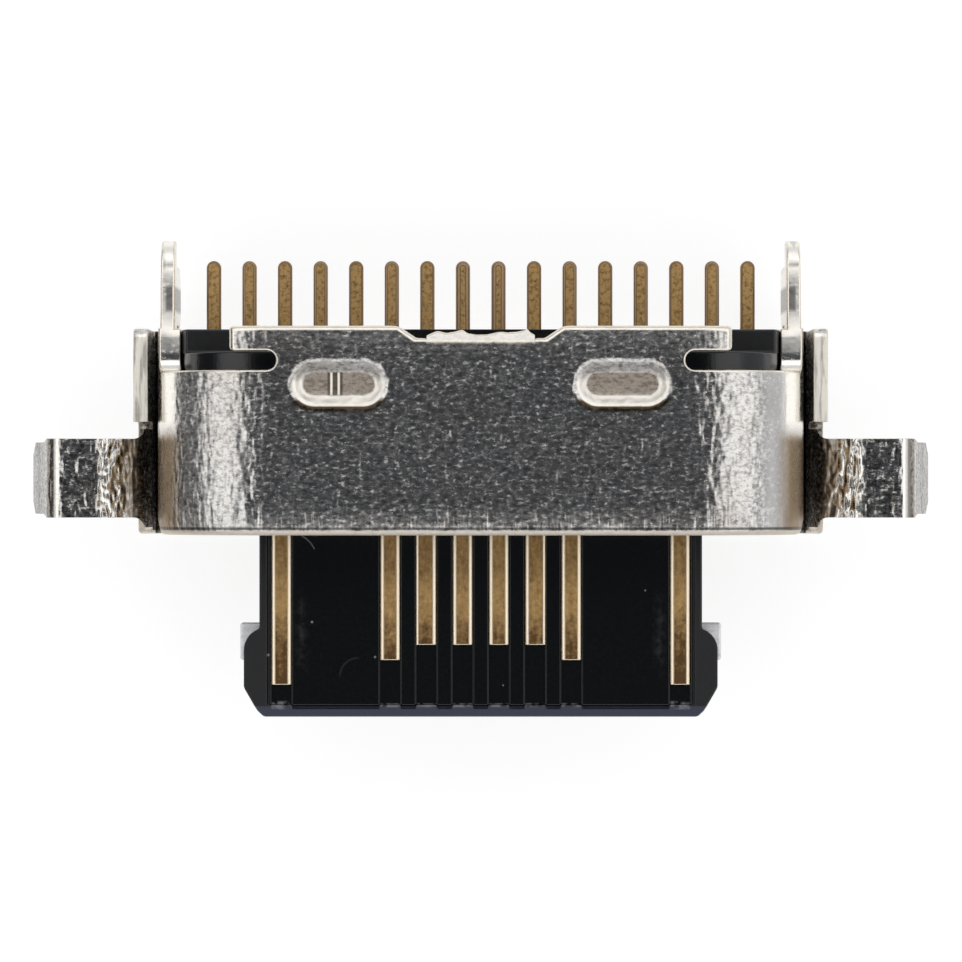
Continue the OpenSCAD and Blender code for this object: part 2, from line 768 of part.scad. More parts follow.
module contact_plan(c, spread_end_y) {
    front_x = c[2];
    tail_x = c[3] * tail_pitch;
    front_y = tip_y + c[4];
    // The ground contacts spread only where the insert is wide
    spread_start_y = abs(front_x) < ground_x ? root_front_y + insert_wall : insert_wide_y + insert_wall / 2;
    half = contact_w / 2;
    tail_half = tail_w / 2;
    rect(front_x - half, front_y, front_x + half, spread_start_y);
    polygon([[front_x - half, spread_start_y], [front_x + half, spread_start_y],
             [tail_x + tail_half, spread_end_y], [tail_x - tail_half, spread_end_y]]);
    rect(tail_x - tail_half, spread_end_y, tail_x + tail_half, tail_end_y - tail_half);
    translate([tail_x, tail_end_y - tail_half]) circle(r = tail_half, $fn = fine);
}

module upper_contact_profile() {
    r_in = contact_bend;
    r_out = contact_bend + contact_t;
    low_y = drop_y + r_out + r_in;
    rect(tip_y, upper_z, drop_y, upper_z + contact_t);
    translate([drop_y, upper_z - r_in]) quarter_ring(r_in, r_out, 1, 1);
    rect(drop_y + r_in, seat_z + r_out, drop_y + r_out, upper_z - r_in);
    translate([low_y, seat_z + r_out]) quarter_ring(r_in, r_out, -1, -1);
    rect(low_y, seat_z, tail_end_y, seat_z + contact_t);
}

shell();
bracket();
housing();
upper_insert();
lower_insert();
middle_plate();
upper_shield();
lower_shield();
for (c = CONTACTS) {
    contact(c);
}
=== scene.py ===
"""A 16-contact USB-C socket, sunk into a cut-out of its board, seen from straight above on white."""
import math

import bmesh
import bpy
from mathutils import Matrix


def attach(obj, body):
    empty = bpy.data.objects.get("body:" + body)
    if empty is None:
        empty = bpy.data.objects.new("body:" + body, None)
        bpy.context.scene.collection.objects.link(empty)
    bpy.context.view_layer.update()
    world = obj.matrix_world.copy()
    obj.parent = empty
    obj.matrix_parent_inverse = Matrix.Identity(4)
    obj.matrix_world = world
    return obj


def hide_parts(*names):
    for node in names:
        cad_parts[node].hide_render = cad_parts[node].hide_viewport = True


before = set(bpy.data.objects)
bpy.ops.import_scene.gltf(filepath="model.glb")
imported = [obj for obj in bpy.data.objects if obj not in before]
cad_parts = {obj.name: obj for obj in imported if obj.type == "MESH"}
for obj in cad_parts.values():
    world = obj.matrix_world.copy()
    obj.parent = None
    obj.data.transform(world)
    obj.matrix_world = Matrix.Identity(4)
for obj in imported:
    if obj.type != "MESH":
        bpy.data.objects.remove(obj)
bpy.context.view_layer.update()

# The shell: stainless steel strip, rolled round the mouth and welded, pressed with two dimples,
# nickel-plated to a satin finish. The press rolls over every cut edge, so each catches the light.

# MM is in metres, and the other lengths are in millimetres. RUN_TURN is in degrees. A share is a part
# of the room beside an edge, or of a corner edge's length, that a roll may take.
MM = 0.001
SHELL_ROLL = 0.075
SHELL_SHARE = 0.25
SHORT_END = 0.036
SOFT_SHARE = 0.45
CORNER_SHARE = 0.45
SHARP_ANGLE = math.radians(20)
CREASE_ANGLE = math.radians(50)
RUN_TURN = 32
DOUBLES = 0.0002
FLAT_ANGLE = math.radians(0.5)
ROLL_SHARE = 0.42
NO_LIMIT = 1.0
NO_ROOM = 0.0001
DIMPLE_X = 1.93
DIMPLE_Y = 1.28
DIMPLE_HALF = 0.33
DIMPLE_REACH = (0.7, 0.36)
DIMPLE_LOW = 2.7

NICKEL = "#e4e1dc"
# A lighter cream copy of the plating, a painted highlight on rolled and sheared edges:
PAINTED_HIGHLIGHT_NICKEL = "#f3ecdf"
# A brown for real stains, also used as painted shade and as the ear's painted reflection:
STAIN_AND_SHADE_BROWN = "#8f7a60"
# A paler nickel for bare metal, also used as a painted highlight:
BARE_AND_HIGHLIGHT_NICKEL = "#fbf7ee"
# A near-black painted shade for narrow dark lines, hollows and shaded sides:
GAP_SHADE = "#14110e"

# Random patterns on plated steel, by name: waves per millimetre along X, Y and Z, detail, and the
# roughness of the detail. The orange peel's ripples are 0.11 mm wide and 0.22 mm long, the satin grain
# is 0.11 mm long, along the strip, and 0.05 mm wide, and the pits are 0.05 mm to 0.08 mm. These three
# are drawn about three times as coarse as they are, so that they show. A stain is 0.6 mm wide.
STEEL_PATTERNS = {
    "peel": ((9.0, 4.5, 9.0), 1.0, 0.4),
    "grain": ((9.0, 19.0, 19.0), 3.0, 0.7),
    "pits": ((12.0, 20.0, 17.0), 3.0, 0.7),
    "stain": ((1.6, 1.6, 1.6), 4.0, 0.6),
}
# The tool has dragged ridges 0.12 mm wide and 0.8 mm long over the front of the shell.
SHELL_PATTERNS = {"drag": ((8.0, 1.2, 3.0), 2.0, 0.5)}
STEEL_PLACES = {
    "satin": (("grain", -0.2, 0.25),),
    "pale_pits": (("pits", 0.08, 0.18),),
    "between_pits": (("pits", -0.16, 0.08),),
    "stained": (("stain", -0.05, 0.2),),
}
SATIN_DEPTH = 0.18
SATIN_START = -0.03
PIT_HAZE = 0.4

# Places on the shell, in millimetres. Each step gives a reading, where the place starts and where it
# is full. "dimple" is the distance from the middle line of a dimple.
SHELL_PLACES = {
    "low_beside_ear": (("side", 4.0, 4.25), ("y", 0.75, 0.5)),
    "bright_side": (("side", 4.1, 4.2), ("y", 0.55, 0.8)),
    "curve": (("z", 3.34, 3.3), ("side", 3.0, 3.1)),
    "right_curve": (("x", 3.75, 3.95),),
    "dimple_floor": (("dimple", 0.17, 0.145),),
    "dimple_shoulder": (("dimple", 0.35, 0.3), ("y", 1.12, 1.2)),
    "dimple_foot": (("dimple", 0.31, 0.29), ("dimple", 0.15, 0.18), ("y", 1.2, 1.12)),
    "dimple_wall_rear": (("dimple", 0.31, 0.29), ("dimple", 0.15, 0.18), ("y", 1.3, 1.45)),
    "dimple_wall_front": (("dimple", 0.31, 0.29), ("dimple", 0.15, 0.18), ("y", 1.45, 1.3)),
    "before_dimple": (("dimple", 0.3, 0.315), ("dimple", 0.4, 0.35), ("y", 1.1, 1.04)),
    "left_scratch": (("dimple", 0.17, 0.145), ("x", -2.056, -2.042), ("x", -2.004, -2.018)),
    "right_scratch": (("dimple", 0.17, 0.145), ("x", -1.956, -1.942), ("x", -1.904, -1.918)),
    "left_of_scratches": (("dimple", 0.17, 0.145), ("x", -2.095, -2.07), ("x", -2.042, -2.056)),
    "between_scratches": (("dimple", 0.17, 0.145), ("x", -2.018, -2.004), ("x", -1.942, -1.956)),
    "right_of_scratches": (("dimple", 0.17, 0.145), ("x", -1.918, -1.904), ("x", -1.865, -1.89)),
    "flap": (("y", 1.6, 1.9),),
    "torn_stub": (("z", 3.357, 3.35), ("side", 0.78, 0.74), ("y", 1.82, 1.86)),
    "near_lip": (("y", -0.36, -0.56),),
    "behind_lip": (("y", -0.66, -0.68), ("y", -0.715, -0.7)),
    "rear_leg": (("side", 4.1, 4.15), ("y", 1.7, 1.75)),
    "leg_dent": (("side", 4.2, 4.23), ("side", 4.37, 4.34), ("y", 2.28, 2.34), ("y", 2.68, 2.62)),
    "leg_tip": (("side", 4.1, 4.15), ("y", 2.84, 2.9), ("drag", -0.02, 0.06)),
}
# How strong each kind of mark is at each place: brown tarnish, which beside the ear is a painted
# reflection of the ear and before the dimples a painted shadow; haze (added roughness); painted shade
# as narrow dark lines behind the lip and between the scratches, on the dimples' rear walls, before the
# dimples and at the rear legs' dents and tips; painted highlights on the bright side, the dimples' front
# walls and the scratches, and bare metal with a painted highlight on the torn stub; calm places
# without the peel; and relief drawn from a pattern.
SHELL_MARKS = {
    "tarnish_and_painted_shade": {"low_beside_ear": 1.0, "dimple_floor": 0.5, "before_dimple": 1.0},
    "haze": {"dimple_floor": 0.3, "dimple_shoulder": 0.3, "dimple_foot": 0.3, "torn_stub": 0.25,
             "left_scratch": 0.6, "right_scratch": 0.6, "flap": 0.05, "near_lip": 0.06,
             "rear_leg": 0.14, "curve": 0.06, "bright_side": -0.12},
    "gap": {"behind_lip": 0.75, "left_of_scratches": 0.6, "between_scratches": 0.6,
            "right_of_scratches": 0.6, "dimple_wall_rear": 0.35, "before_dimple": 0.75,
            "leg_dent": 0.65, "leg_tip": 0.3},
    "bare_and_painted_highlight": {"dimple_wall_front": 1.0, "left_scratch": 1.0, "right_scratch": 1.0, "bright_side": 1.0,
              "torn_stub": 0.7},
    "calm": {"bright_side": 0.9, "right_curve": 0.75},
    "relief": {"near_lip": ("drag", 1.3)},
}
# The lip's rolled edge is beige and duller than the others.
LIP_PLACES = {"lip": (("y", -0.66, -0.7),)}
LIP_MARKS = {"tarnish_and_painted_shade": {"lip": 0.25}, "haze": {"lip": 0.35}}


def linear(code):
    """A colour written as sRGB hex, in the linear values that a node takes."""
    parts = [int(code[i:i + 2], 16) / 255 for i in (1, 3, 5)]
    return [c / 12.92 if c <= 0.04045 else ((c + 0.055) / 1.055) ** 2.4 for c in parts] + [1.0]


def add(tree, kind, inputs, stops=None, **settings):
    """Adds a node with its settings, its inputs as values or as other nodes' outputs, and a ramp's stops."""
    node = tree.nodes.new(kind)
    for name, value in settings.items():
        setattr(node, name, value)
    for name, value in inputs.items():
        if isinstance(value, bpy.types.NodeSocket):
            tree.links.new(value, node.inputs[name])
        else:
            node.inputs[name].default_value = value
    if stops:
        ramp = node.color_ramp.elements
        while len(ramp) < len(stops):
            ramp.new(0.5)
        for point, (place, level) in zip(ramp, stops):
            point.position = place
            point.color = level if isinstance(level, (list, tuple)) else (level, level, level, 1)
    return node


def turn(edge, other, vert):
    """The angle in degrees by which a line of edges turns at a vertex."""
    before = (edge.other_vert(vert).co - vert.co).normalized()
    after = (other.other_vert(vert).co - vert.co).normalized()
    return 180 - math.degrees(before.angle(after))


def next_in_run(edge, vert, sharp):
    """The sharp edge that carries a run of them on past a vertex, or None at a corner."""
    near = [other for other in vert.link_edges if other in sharp and other is not edge]
    return near[0] if len(near) == 1 and turn(edge, near[0], vert) < RUN_TURN else None


def close_short_ends(bm, length):
    """Closes each sharp edge below a length that joins a corner to a run of edges, which then keeps its
    roll."""
    sharp = {edge for edge in bm.edges if edge.calc_face_angle() > SHARP_ANGLE}
    for edge in sorted(sharp, key=lambda edge: edge.index):
        if not edge.is_valid or edge.calc_length() > length:
            continue
        corners = [vert for vert in edge.verts if next_in_run(edge, vert, sharp) is None]
        if len(corners) == 1:
            bmesh.ops.pointmerge(bm, verts=list(edge.verts), merge_co=corners[0].co.copy())
            sharp = {other for other in sharp if other.is_valid}


def room_beside(edge, sharp):
    """The clear width of an edge's two faces, up to the next sharp edge across them."""
    room = NO_LIMIT
    for face in edge.link_faces:
        loop = next(corner for corner in face.loops if corner.edge is edge)
        start, end = loop.vert.co, loop.link_loop_next.vert.co
        length = (end - start).length
        along = (end - start) / length
        inward = face.normal.cross(along)
        for other in face.edges:
            if other is edge or other not in sharp:
                continue
            near, far = (vert.co - start for vert in other.verts)
            near_x, far_x = near.dot(along), far.dot(along)
            for part in (0.25, 0.5, 0.75):
                x = part * length
                if (near_x - x) * (far_x - x) < 0:
                    slope = (far - near).dot(inward) / (far_x - near_x)
                    across = near.dot(inward) + slope * (x - near_x)
                    if across > NO_ROOM:
                        room = min(room, across)
    return room


def roll_widths(sharp, roll, share, limit, soft):
    """The roll of each sharp edge: all edges of a run have the smallest that one of them has room for."""
    width = {}
    run = {}
    for edge in sharp:
        middle = (edge.verts[0].co + edge.verts[1].co) / 2
        size = (SOFT_SHARE if soft(middle) else share) * room_beside(edge, sharp)
        size = min(size, limit(middle))
        run[edge] = []
        for vert in edge.verts:
            following = next_in_run(edge, vert, sharp)
            if following:
                run[edge].append(following)
            else:
                size = min(size, CORNER_SHARE * edge.calc_length())
        width[edge] = min(roll, size)
    level = False
    while not level:
        level = True
        for edge, near in run.items():
            for other in near:
                if width[other] < width[edge]:
                    width[edge] = width[other]
                    level = False
    return width


def modified(mesh, kind, **settings):
    """A new mesh, made from an old one by a modifier. The old one is removed."""
    worked = bpy.data.objects.new("worked", mesh)
    bpy.context.scene.collection.objects.link(worked)
    modifier = worked.modifiers.new("worked", kind)
    for name, value in settings.items():
        setattr(modifier, name, value)
    bpy.context.view_layer.update()
    made = bpy.data.meshes.new_from_object(worked.evaluated_get(bpy.context.evaluated_depsgraph_get()))
    bpy.data.objects.remove(worked)
    bpy.data.meshes.remove(mesh)
    return made


def anywhere(place):
    """The roll has no limit of its own at any place."""
    return NO_LIMIT


def nowhere(place):
    """No place is a special one."""
    return False


def rolled_copy(node, name, roll, share=ROLL_SHARE, limit=anywhere, segments=3, soft=nowhere,
                cut=nowhere, short=0.0):
    """A merged copy of a CAD node with its sharp edges rolled to a radius in millimetres, or to no more
    than a share of the room beside an edge, or to the limit at an edge's place. It is worked in
    millimetres, because Blender's bevel loses edges that are far below a metre. The flat faces take the
    piece's first material and the rolled edges its second. At a soft place the roll takes as much room
    as there is, and the first material. A cut place takes the second."""
    bm = bmesh.new()
    bm.from_mesh(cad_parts[node].data)
    weight = bm.edges.layers.float.new("bevel_weight_edge")
    bmesh.ops.scale(bm, vec=(1 / MM, 1 / MM, 1 / MM), verts=bm.verts)
    bmesh.ops.remove_doubles(bm, verts=bm.verts, dist=DOUBLES)
    bmesh.ops.dissolve_limit(bm, angle_limit=FLAT_ANGLE, verts=bm.verts, edges=bm.edges)
    close_short_ends(bm, short)
    sharp = {edge for edge in bm.edges if edge.calc_face_angle() > SHARP_ANGLE}
    for edge, size in roll_widths(sharp, roll, share, limit, soft).items():
        edge[weight] = size / roll
    mesh = bpy.data.meshes.new(name)
    bm.to_mesh(mesh)
    bm.free()
    mesh.materials.append(None)
    mesh.materials.append(None)
    mesh = modified(mesh, "BEVEL", limit_method="WEIGHT", width=roll, segments=segments, profile=0.5,
                    material=1, use_clamp_overlap=False, loop_slide=False)
    bm = bmesh.new()
    bm.from_mesh(mesh)
    for face in bm.faces:
        face.smooth = True
        if soft(face.calc_center_median()):
            face.material_index = 0
        if cut(face.calc_center_median()):
            face.material_index = 1
    for edge in bm.edges:
        edge.smooth = edge.calc_face_angle(0) < CREASE_ANGLE
    bm.to_mesh(mesh)
    bm.free()
    mesh = modified(mesh, "WEIGHTED_NORMAL", mode="FACE_AREA", keep_sharp=True)
    mesh.transform(((MM, 0, 0, 0), (0, MM, 0, 0), (0, 0, MM, 0), (0, 0, 0, 1)))
    mesh.name = name
    piece = bpy.data.objects.new(name, mesh)
    bpy.context.scene.collection.objects.link(piece)
    return piece


def fit(piece, node, flat, rolled):
    """Gives a piece its two materials and puts it in the place of its CAD node."""
    piece.data.materials[0] = flat
    piece.data.materials[1] = rolled
    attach(piece, "root")
    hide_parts(node)


def new_material(name):
    material = bpy.data.materials.new(name)
    material.use_nodes = True
    material.node_tree.nodes.clear()
    return material, material.node_tree


def distance(tree, x, y, middle, half=0.0):
    """The distance of a point from a spot, or from a line along X that reaches half its length to each
    side of the spot."""
    away = add(tree, "ShaderNodeCombineXYZ", {"X": x, "Y": y}).outputs[0]
    for operation, other in (("SUBTRACT", (*middle, 0)), ("ABSOLUTE", None), ("SUBTRACT", (half, 0, 0)),
                             ("MAXIMUM", (0, 0, 0))):
        inputs = {0: away, 1: other} if other else {0: away}
        away = add(tree, "ShaderNodeVectorMath", inputs, operation=operation).outputs[0]
    return add(tree, "ShaderNodeVectorMath", {0: away}, operation="LENGTH").outputs["Value"]


def readings(tree, patterns):
    """What a place is read from, by name: Object coordinates in millimetres, the distance from the
    middle plane as "side", and random patterns, each from -0.5 to 0.5."""
    place = add(tree, "ShaderNodeTexCoord", {})
    mm = add(tree, "ShaderNodeVectorMath", {0: place.outputs["Object"], "Scale": 1 / MM}, operation="SCALE")
    x, y, z = add(tree, "ShaderNodeSeparateXYZ", {"Vector": mm.outputs[0]}).outputs
    side = add(tree, "ShaderNodeMath", {0: x}, operation="ABSOLUTE").outputs[0]
    at = {"x": x, "y": y, "z": z, "side": side}
    for name, (per_mm, detail, roughness) in patterns.items():
        drawn = add(tree, "ShaderNodeMapping", {"Vector": mm.outputs[0], "Scale": per_mm})
        noise = add(tree, "ShaderNodeTexNoise", {"Vector": drawn.outputs[0], "Scale": 1.0, "Detail": detail,
                                                 "Roughness": roughness})
        centred = add(tree, "ShaderNodeMath", {0: noise.outputs[0], 1: 0.5}, operation="SUBTRACT")
        at[name] = centred.outputs[0]
    return at


def masks_of(tree, at, places):
    """A mask for each place, which is 1 inside all its steps and fades to 0 outside."""
    masks = {}
    for place, steps in places.items():
        masks[place] = 1.0
        for reading, start, full in steps:
            step = {"Value": at[reading], "From Min": start, "From Max": full}
            both = {0: add(tree, "ShaderNodeMapRange", step).outputs[0], 1: masks[place]}
            masks[place] = add(tree, "ShaderNodeMath", both, operation="MULTIPLY").outputs[0]
    return masks


def joined(tree, operation, *parts, base=0.0):
    """The sum or the largest of a base and several masks, each times its strength or another mask."""
    total = base
    for mask, strength in parts:
        weighed = add(tree, "ShaderNodeMath", {0: mask, 1: strength}, operation="MULTIPLY").outputs[0]
        total = add(tree, "ShaderNodeMath", {0: weighed, 1: total}, operation=operation).outputs[0]
    return total


def steel_readings(tree):
    """What all steel reads."""
    return readings(tree, STEEL_PATTERNS)


def shell_readings(tree):
    """What the shell reads: it adds its drag ridges and the distance from the middle line of a dimple."""
    at = readings(tree, {**STEEL_PATTERNS, **SHELL_PATTERNS})
    at["dimple"] = distance(tree, at["side"], at["y"], (DIMPLE_X, DIMPLE_Y), DIMPLE_HALF)
    return at


def plated_steel(name, colour, peel, grain, roughness, stained, pitted, read, places, marks):
    """Satin nickel on stainless steel, or the bare sheet: an orange peel that ripples where it tilts to
    the light, a fine satin grain, dark and pale pits, and brown stains as strong as the given share. The
    marks add brown tarnish that is partly painted shade, painted shade, and painted highlights with bare
    metal.
    The heights of the peel and the grain are in metres."""
    material, tree = new_material(name)
    at = read(tree)
    masks = masks_of(tree, at, {**STEEL_PLACES, **places})
    parts = {kind: [(masks[place], strength) for place, strength in marks.get(kind, {}).items()]
             for kind in ("tarnish_and_painted_shade", "haze", "gap", "bare_and_painted_highlight", "calm")}
    calm = joined(tree, "MAXIMUM", *parts["calm"])
    peeled = add(tree, "ShaderNodeMath", {0: 1.0, 1: calm}, operation="SUBTRACT").outputs[0]
    height = joined(tree, "ADD", (at["peel"], peeled))
    for place, (pattern, strength) in marks.get("relief", {}).items():
        drawn = joined(tree, "ADD", (at[pattern], masks[place]))
        height = joined(tree, "ADD", (drawn, strength), base=height)
    rough = joined(tree, "ADD", (masks["satin"], SATIN_DEPTH), (masks["pale_pits"], pitted * PIT_HAZE),
                   *parts["haze"], base=roughness + SATIN_START)
    tint = [(1 - pitted) * part for part in linear(colour)[:3]] + [1.0]
    for over, factor in (
            (colour, joined(tree, "MAXIMUM", (masks["between_pits"], 1.0), (calm, 1.0))),
            (STAIN_AND_SHADE_BROWN, joined(tree, "MAXIMUM", (masks["stained"], stained), *parts["tarnish_and_painted_shade"])),
            (BARE_AND_HIGHLIGHT_NICKEL, joined(tree, "MAXIMUM", *parts["bare_and_painted_highlight"])),
            (GAP_SHADE, joined(tree, "MAXIMUM", *parts["gap"]))):
        mix = {"Factor": factor, "A": tint, "B": linear(over)}
        tint = add(tree, "ShaderNodeMix", mix, data_type="RGBA").outputs["Result"]
    first = add(tree, "ShaderNodeBump", {"Height": height, "Distance": peel, "Strength": 1.0})
    second = add(tree, "ShaderNodeBump", {"Height": at["grain"], "Distance": grain, "Strength": 1.0,
                                          "Normal": first.outputs[0]})
    metal = add(tree, "ShaderNodeBsdfPrincipled", {"Base Color": tint, "Metallic": 1.0, "Roughness": rough,
                                                   "Normal": second.outputs[0]})
    add(tree, "ShaderNodeOutputMaterial", {"Surface": metal.outputs[0]})
    return material


def in_dimple(place):
    """The edges of the dimples are soft."""
    off_x = abs(abs(place.x) - DIMPLE_X)
    off_y = abs(place.y - DIMPLE_Y)
    return off_x < DIMPLE_REACH[0] and off_y < DIMPLE_REACH[1] and place.z > DIMPLE_LOW


# The plated faces look pale grey and half glossy, with fine ripples and specks.
shell_steel = plated_steel("satin_nickel_on_steel_shell", NICKEL, peel=0.000022, grain=0.0000012,
                           roughness=0.185, stained=0.2, pitted=0.6, read=shell_readings,
                           places=SHELL_PLACES, marks=SHELL_MARKS)
# The plating is smoother on the rolled edges, which are painted a lighter cream than the flats, a
# painted highlight that makes them look like bright cream lines.
rolled_steel = plated_steel("satin_nickel_on_rolled_edge", PAINTED_HIGHLIGHT_NICKEL, peel=0.000006, grain=0.000001,
                            roughness=0.24, stained=0.2, pitted=0.1, read=steel_readings,
                            places=LIP_PLACES, marks=LIP_MARKS)
shell = rolled_copy("shell", "shell_sheet", SHELL_ROLL, share=SHELL_SHARE, soft=in_dimple, short=SHORT_END)
fit(shell, "shell", shell_steel, rolled_steel)

# The bracket: thinner stainless strip, bent to a channel below the shell and laser-welded to it,
# with two ears that are soldered into the board.

BRACKET_ROLL = 0.07
BRACKET_SHARE = 0.47
EDGE_ROLL = 0.012
STUB_ROLL = 0.05
INNER_ROLL = 0.02
WALL_START = 0.85
WALL_MIDDLE = 4.66
WALL_TOP = 1.94
STUB_END = -0.6
STUB_TOP = (0.805, 0.815)
RAGGED = 0.1

# The bends' waves are 0.11 mm wide and 0.25 mm long. The streaks that the shears leave on the walls'
# tops are 0.06 mm wide and 0.6 mm long. The painted dark shade line along each leg is ragged every 0.17 mm.
BRACKET_PATTERNS = {
    "waves": ((9.0, 4.0, 7.0), 1.0, 0.5),
    "streaks": ((16.0, 1.6, 1.0), 3.0, 0.5),
    "uneven": ((6.0, 6.0, 6.0), 2.0, 0.5),
}
# Places on the bracket, read as those on the shell are, and how strong each mark is there. The marks
# paint shade on the walls' inner faces beside the shell, in the streaks on the walls' tops and along
# the legs; brown with painted shade at the ears' roots and ridges; painted highlights on the ears' bends
# and crease middles; and the walls' sheared tops bare and painted paler.
BRACKET_PLACES = {
    "beside_shell": (("side", 4.59, 4.575), ("z", 0.3, 0.5)),
    "wall_top": (("z", 1.88, 1.92),),
    "wall_top_streaks": (("z", 1.88, 1.92), ("streaks", -0.02, 0.14)),
    "ear_root": (("side", 4.7, 4.8), ("side", 4.98, 4.9)),
    "ear_bend": (("side", 4.76, 4.85), ("side", 5.36, 5.28)),
    "ear_crease": (("side", 5.84, 5.87), ("side", 5.99, 5.97)),
    "ear_crease_middle": (("side", 5.86, 5.88), ("side", 5.95, 5.93)),
    "ear_ridge": (("side", 5.885, 5.91), ("side", 6.06, 6.03)),
    "leg": (("side", 6.05, 6.08),),
    "leg_dark_line": (("ragged_side", 6.15, 6.18), ("ragged_side", 6.25, 6.22)),
}
BRACKET_MARKS = {
    "tarnish_and_painted_shade": {"ear_root": 0.12, "ear_ridge": 0.45},
    "haze": {"ear_bend": 0.05, "ear_root": 0.14},
    "gap": {"beside_shell": 1.0, "wall_top_streaks": 0.4, "ear_ridge": 0.4, "leg_dark_line": 0.6,
            "leg": 0.35},
    "bare_and_painted_highlight": {"wall_top": 0.8, "ear_bend": 0.8, "ear_crease_middle": 1.0},
    "calm": {"ear_crease": 1.0},
    "relief": {"ear_bend": ("waves", 3.0)},
}


def bracket_roll(place):
    """The rear walls' tops are round outside, the front stubs less, and the ears are cut square."""
    if place.y > WALL_START:
        return BRACKET_ROLL if abs(place.x) > WALL_MIDDLE else INNER_ROLL
    return STUB_ROLL if place.y < STUB_END else EDGE_ROLL


def wall_top(place):
    """The sheared tops of the walls and of the front stubs."""
    return place.z > WALL_TOP or (place.y < STUB_END and STUB_TOP[0] < place.z < STUB_TOP[1])


def bracket_readings(tree):
    """What the bracket reads: it adds its own patterns and a ragged distance from the middle plane."""
    at = readings(tree, {**STEEL_PATTERNS, **BRACKET_PATTERNS})
    at["ragged_side"] = joined(tree, "ADD", (at["uneven"], RAGGED), base=at["side"])
    return at


# The bracket's faces look like the shell's, with deeper ripples, darker pits and waves on the bends.
bracket_steel = plated_steel("satin_nickel_on_steel_bracket", NICKEL, peel=0.000036, grain=0.000002,
                             roughness=0.17, stained=0.2, pitted=0.85, read=bracket_readings,
                             places=BRACKET_PLACES, marks=BRACKET_MARKS)
# The shears leave the tops of the walls rough, so the plating there looks matt and streaked. Its pale
# cream is partly bare sheared metal and partly a painted highlight, and the streaks hold painted shade.
sheared_steel = plated_steel("satin_nickel_on_sheared_edge", PAINTED_HIGHLIGHT_NICKEL, peel=0.000016,
                             grain=0.000004, roughness=0.62, stained=0.3, pitted=0.15,
                             read=bracket_readings, places=BRACKET_PLACES, marks=BRACKET_MARKS)
bracket = rolled_copy("bracket", "bracket_sheet", BRACKET_ROLL, share=BRACKET_SHARE, limit=bracket_roll,
                      cut=wall_top)
fit(bracket, "bracket", bracket_steel, sheared_steel)

# The housing and the two inserts: black glass-filled nylon, moulded. The contacts are pressed into
# the inserts, and the housing is moulded round both.

HOUSING_ROLL = 0.03
INSERT_ROLL = 0.012
MOULDED_BLACK = "#08090b"
SCUFFED_BLACK = "#96979b"
# A painted bluish reflection on the housing's nose bevel:
NOSE_BLUE_REFLECTION = "#1c2138"
CONTACT_PITCH = 0.5
NYLON_IOR = 1.53
GRAIN_START = -0.03
GRAIN_DEPTH = 0.07
TORN_HAZE = 0.4
TORN_PALE = 0.5
DUST_PALE = 0.7

# The grain is drawn 0.045 mm wide, twice as coarse as it is, so that it shows. The grooves are 0.06 mm
# wide and 1.4 mm long, and run along the tongue. The torn edge is ragged every 0.1 mm, and the rubbed
# places are patchy every 0.11 mm.
NYLON_PATTERNS = {
    "grain": ((22.0, 22.0, 22.0), 4.0, 0.5),
    "grooves": ((16.0, 0.7, 4.0), 3.0, 0.5),
    "ragged": ((10.0, 10.0, 10.0), 2.0, 0.5),
}
INSERT_PATTERNS = {**NYLON_PATTERNS, "patchy": ((9.0, 9.0, 9.0), 2.0, 0.5)}
# The plastic is torn at the front end of each contact's channel. "column" is the distance from the
# middle of the nearest contact.
NYLON_PLACES = {
    "grain": (("grain", -0.2, 0.2),),
    "torn_signals": (("column", 0.15, 0.12), ("side", 1.45, 1.4), ("y", -3.1, -3.12), ("y", -3.17, -3.15),
                     ("ragged", -0.1, 0.1)),
    "torn_grounds": (("side", 2.6, 2.63), ("side", 2.9, 2.87), ("y", -3.07, -3.1), ("y", -3.2, -3.18),
                     ("ragged", -0.1, 0.1)),
}
# The housing's head is duller than its glossy flange, and so is its rear block. A plug has rubbed the
# inserts beside the outer contacts. The bevel at the nose has a painted bluish reflection.
HOUSING_PLACES = {
    "head": (("y", 0.5, -1.5),),
    "rear_block": (("y", 1.71, 1.73),),
    "nose_bevel": (("y", -3.13, -3.17), ("z", 1.9, 2.0)),
}
HOUSING_DULL = {"head": 0.32, "rear_block": 0.24}
INSERT_PLACES = {
    "rubbed": (("side", 2.35, 2.47), ("side", 2.59, 2.47), ("y", -1.5, -1.9), ("y", -2.8, -2.4),
               ("patchy", -0.15, 0.15)),
}
INSERT_DULL = {"rubbed": 0.26}

# Dust as x, y and radius. A curled fibre at the lip and a round scratch, as the middle and radius of
# the circle that each is a part of, half its width, its soft ends along X and Y, and its strength.
DUST = ((-2.327, -1.985, 0.022), (-1.458, -2.468, 0.02), (-2.934, -2.44, 0.025), (0.31, -2.86, 0.014),
        (2.27, -1.55, 0.016))
CURVED_LINES = (
    ((-2.625, -1.124), 0.36, 0.006, (-2.48, -2.46), (-0.99, -0.97), 0.5),
    ((-1.693, -2.73), 0.248, 0.008, (-1.66, -1.72), (-2.76, -2.7), 0.07),
)


def dust_on_tongue(tree, at):
    """A few specks of dust, the fibre and the round scratch."""
    parts = []
    for x, y, radius in DUST:
        away = distance(tree, at["x"], at["y"], (x, y))
        spot = masks_of(tree, {"away": away}, {"spot": (("away", radius, 0.4 * radius),)})
        parts.append((spot["spot"], 1.0))
    for middle, radius, half, ends_x, ends_y, strength in CURVED_LINES:
        away = distance(tree, at["x"], at["y"], middle)
        inner = ("away", radius - 2 * half, radius - half)
        outer = ("away", radius + 2 * half, radius + half)
        steps = (inner, outer, ("x", *ends_x), ("y", *ends_y))
        line = masks_of(tree, {**at, "away": away}, {"line": steps})
        parts.append((line["line"], strength))
    return joined(tree, "MAXIMUM", *parts)


